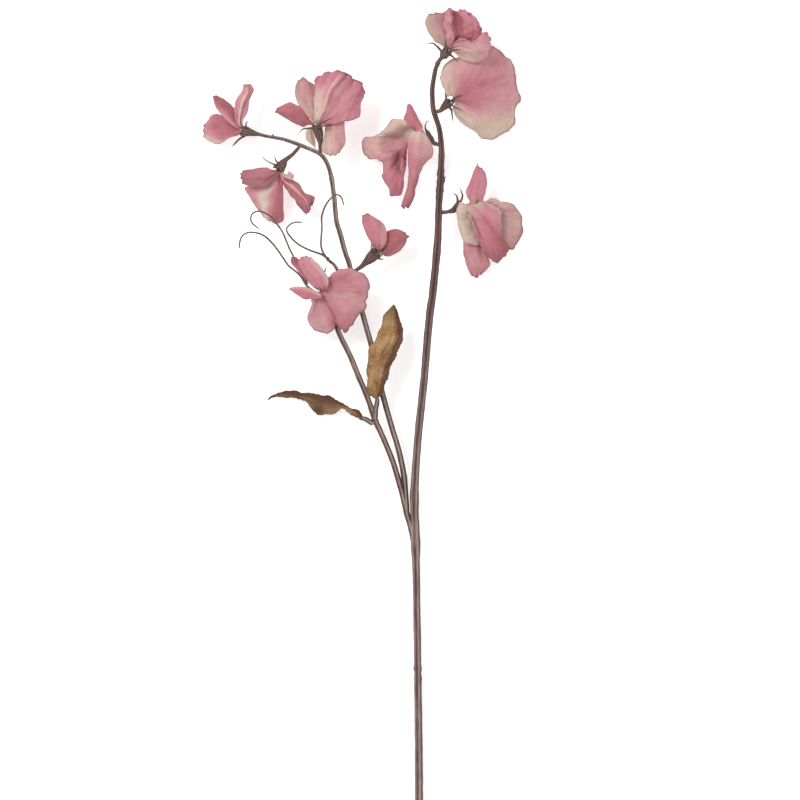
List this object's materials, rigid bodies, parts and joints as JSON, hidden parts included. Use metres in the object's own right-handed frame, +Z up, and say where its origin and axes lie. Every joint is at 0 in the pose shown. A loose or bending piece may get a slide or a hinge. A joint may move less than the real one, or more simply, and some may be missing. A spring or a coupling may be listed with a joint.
{
  "type": "sweet pea flower spray",
  "caption": "Cut sweet pea spray lying flat: a forked stem with ruffled pink and cream blossoms, curling tendrils and folded golden-brown leaves.",
  "frame": {"origin": "middle of the bottom of the bounding box, on the surface that the spray lies on", "axes": "+Y from the cut end of the stem towards the blossoms, +Z up from the surface, +X to the side of the main stem"},
  "size_m": [0.2406, 0.6001, 0.053],
  "materials": {
    "petal": "matte, fine veins and weave, rose pink running to cream",
    "pale_petal": "matte, fine veins and weave, cream flushed with pink",
    "leaf": "matte golden brown with darker ribs and edges",
    "stem": "satin mauve brown with lengthwise grooves",
    "calyx": "matte dark mauve brown, greenish at the edges",
    "tendril": "matte dark grey brown"
  },
  "bodies": {
    "root": {"arching_branch": "stem", "back_facing_calyx": "calyx", "back_facing_standard": "petal", "back_facing_wings": "petal", "bud_calyx": "calyx", "bud_left_lobe": "petal", "bud_right_lobe": "petal", "drooping_leaf_blade": "leaf", "drooping_leaf_stalk": "stem", "front_back_wing": "petal", "front_calyx": "calyx", "front_lower_wing": "petal", "front_standard": "petal", "front_upper_wing": "petal", "left_branch": "stem", "leftmost_calyx": "calyx", "leftmost_lower_lobe": "petal", "leftmost_narrow": "petal", "leftmost_pointed": "petal", "lower_right_calyx": "calyx", "lower_right_centre": "petal", "lower_right_cream_lobe": "pale_petal", "lower_right_lower_wing": "petal", "lower_right_narrow": "petal", "lower_right_standard": "pale_petal", "main_stem": "stem", "middle_calyx": "calyx", "middle_hanging_wing": "petal", "middle_narrow": "petal", "middle_standard": "petal", "tendril_long_hook": "tendril", "tendril_looped": "tendril", "tendril_over_arch": "tendril", "tendril_short_curl": "tendril", "top_calyx": "calyx", "top_hood": "petal", "top_left_lobe": "pale_petal", "top_right_lobe": "petal", "under_arch_calyx": "calyx", "under_arch_centre": "petal", "under_arch_left_wing": "petal", "under_arch_right_wing": "petal", "under_arch_small_lobe": "pale_petal", "upper_left_calyx": "calyx", "upper_left_cream_lobe": "pale_petal", "upper_left_crown": "petal", "upper_left_left_wing": "petal", "upper_left_lower_lobe": "petal", "upper_left_small_lobe": "pale_petal", "upright_leaf_blade": "leaf", "upright_leaf_stalk": "stem"}
  },
  "joints": []
}
